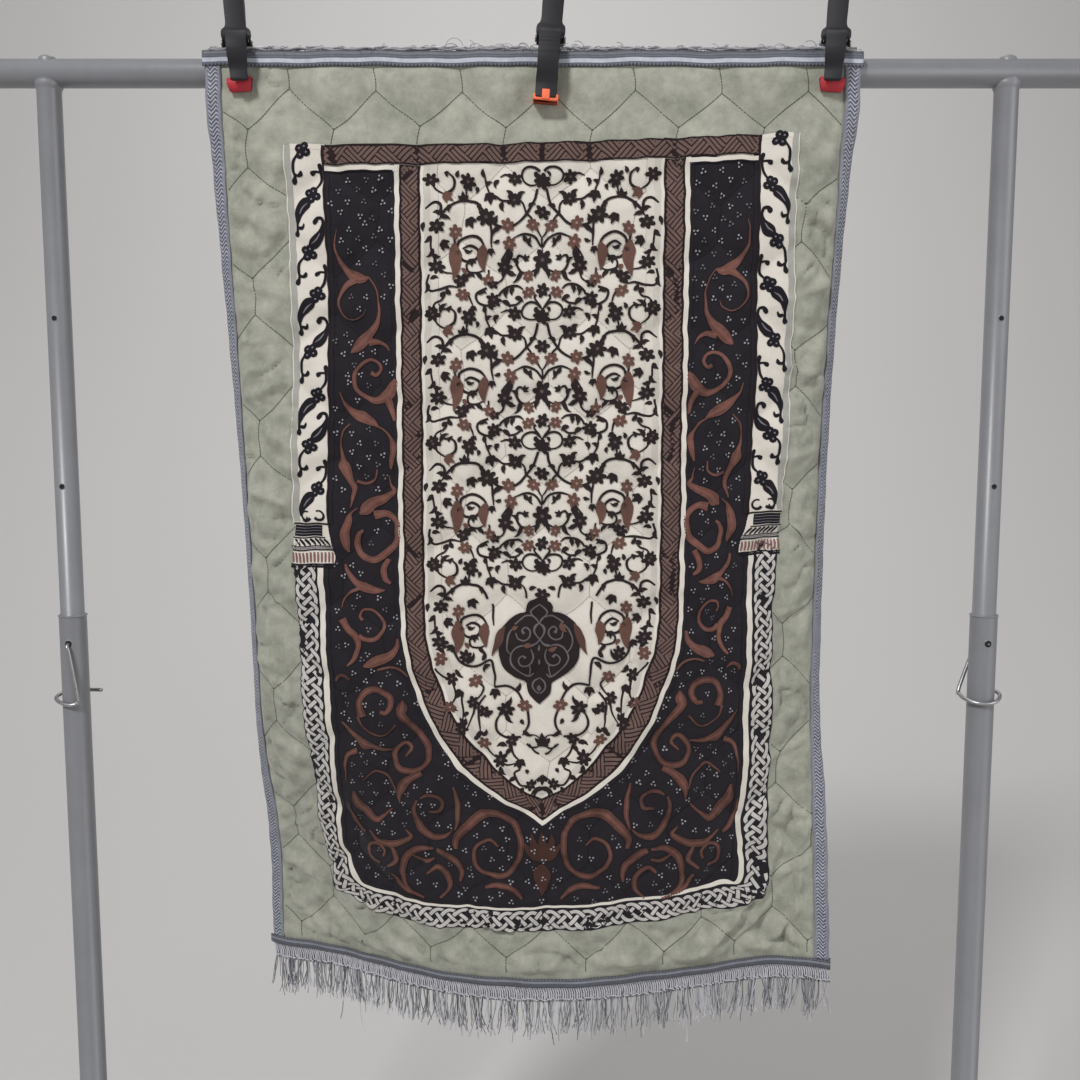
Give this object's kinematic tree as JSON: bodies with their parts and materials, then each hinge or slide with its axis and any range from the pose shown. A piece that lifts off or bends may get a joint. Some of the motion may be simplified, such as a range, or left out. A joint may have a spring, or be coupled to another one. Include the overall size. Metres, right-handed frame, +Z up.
{
  "type": "quilted prayer rug hung by clamps on a tubular display stand",
  "caption": "Quilted plush prayer rug with a niche design, fringed ends and taped sides, hung by spring clamps from the crossbar of a tubular floor stand.",
  "frame": {"origin": "on the floor, midway between the two feet, under the crossbar's axis", "axes": "+Z up, +X along the crossbar to the viewer's right, -Y towards the viewer, the way the rug's face looks"},
  "size_m": [1.312, 0.5, 1.79],
  "materials": {
    "plush": "short sage plush printed with a niche in black, brown and warm white, quilted in a honeycomb",
    "woven_tape": "grey-lavender woven tape with silver chevrons",
    "satin_band": "grey satin with pale lengthwise stripes",
    "fringe_yarn": "soft pale looped and cut yarn",
    "grey_paint": "semi-gloss grey powder paint",
    "plug_plastic": "black plastic",
    "foot_rubber": "black rubber",
    "plated_wire": "zinc plated wire",
    "clamp_plastic": "dark charcoal plastic",
    "clamp_steel": "plain steel",
    "pad_red": "soft red",
    "pad_orange": "soft orange"
  },
  "bodies": {
    "root": {"rug_quilt": "plush", "side_tape_left": "woven_tape", "side_tape_right": "woven_tape", "end_band_top": "satin_band", "end_band_bottom": "satin_band", "fringe_top": "fringe_yarn", "fringe_bottom": "fringe_yarn", "crossbar": "grey_paint", "upper_tube_left": "grey_paint", "weld_cap_left": "grey_paint", "lower_tube_left": "grey_paint", "foot_tube_left": "grey_paint", "upper_tube_right": "grey_paint", "weld_cap_right": "grey_paint", "lower_tube_right": "grey_paint", "foot_tube_right": "grey_paint", "crossbar_plug_left": "plug_plastic", "crossbar_plug_right": "plug_plastic", "foot_shoe_left_front": "foot_rubber", "foot_shoe_left_back": "foot_rubber", "foot_shoe_right_front": "foot_rubber", "foot_shoe_right_back": "foot_rubber", "lock_pin_left": "plated_wire", "lock_pin_right": "plated_wire", "clamp_left_front": "clamp_plastic", "clamp_left_rear": "clamp_plastic", "clamp_left_pin": "clamp_steel", "clamp_left_spring": "clamp_steel", "clamp_left_pad_front": "pad_red", "clamp_left_pad_rear": "pad_red", "clamp_middle_front": "clamp_plastic", "clamp_middle_rear": "clamp_plastic", "clamp_middle_pin": "clamp_steel", "clamp_middle_spring": "clamp_steel", "clamp_middle_pad_front": "pad_orange", "clamp_middle_pad_rear": "pad_orange", "clamp_right_front": "clamp_plastic", "clamp_right_rear": "clamp_plastic", "clamp_right_pin": "clamp_steel", "clamp_right_spring": "clamp_steel", "clamp_right_pad_front": "pad_red", "clamp_right_pad_rear": "pad_red"}
  },
  "joints": []
}
